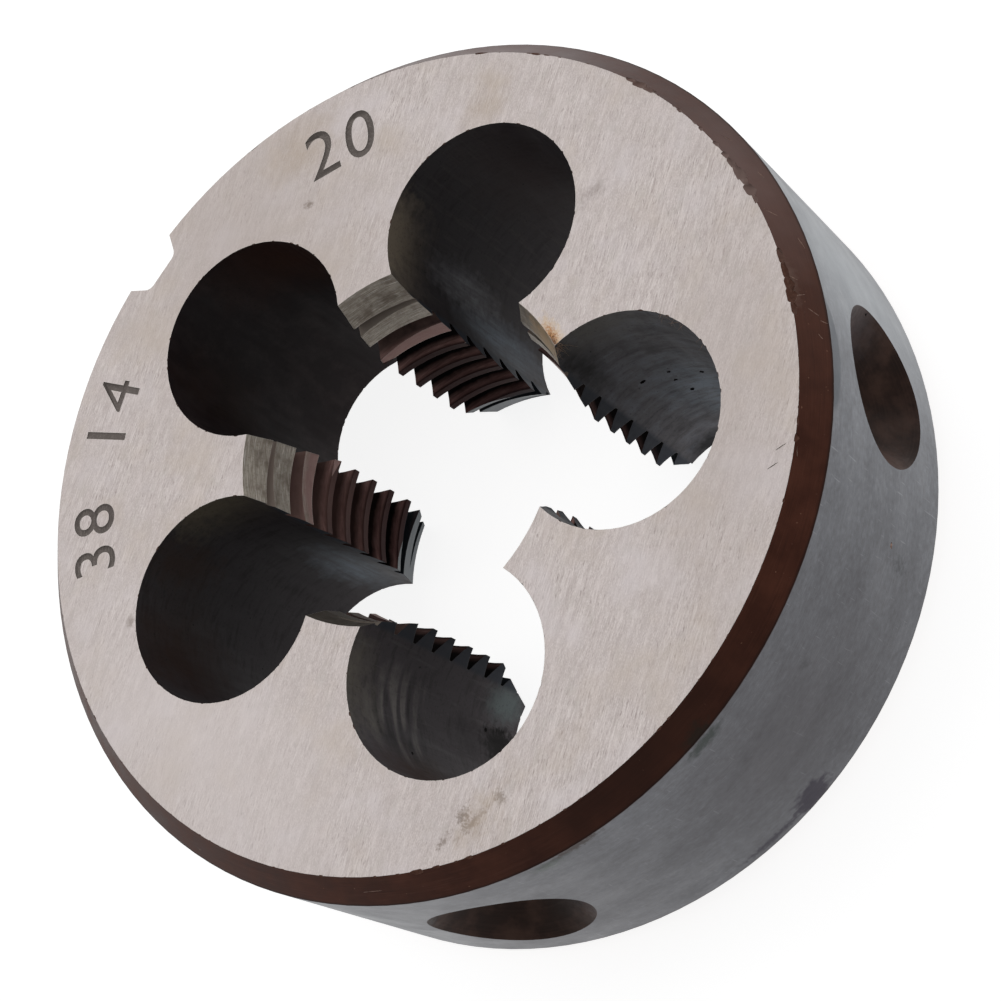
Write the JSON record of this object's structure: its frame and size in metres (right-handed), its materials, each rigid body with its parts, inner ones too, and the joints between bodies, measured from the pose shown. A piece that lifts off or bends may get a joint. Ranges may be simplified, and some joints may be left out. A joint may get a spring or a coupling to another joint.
{
  "type": "threading die",
  "caption": "Round threading die with a right-hand internal thread on five cutting lands, for a hand die stock.",
  "frame": {"origin": "on the thread axis, at the back face", "axes": "+Z out of the marked front face, +X through a screw seat of the rim"},
  "size_m": [0.038, 0.038, 0.014],
  "materials": {
    "tool_steel": "ground faces and rim, dark hardened chamfers, holes and seats"
  },
  "bodies": {
    "root": {"die_body": "tool_steel"}
  },
  "joints": []
}
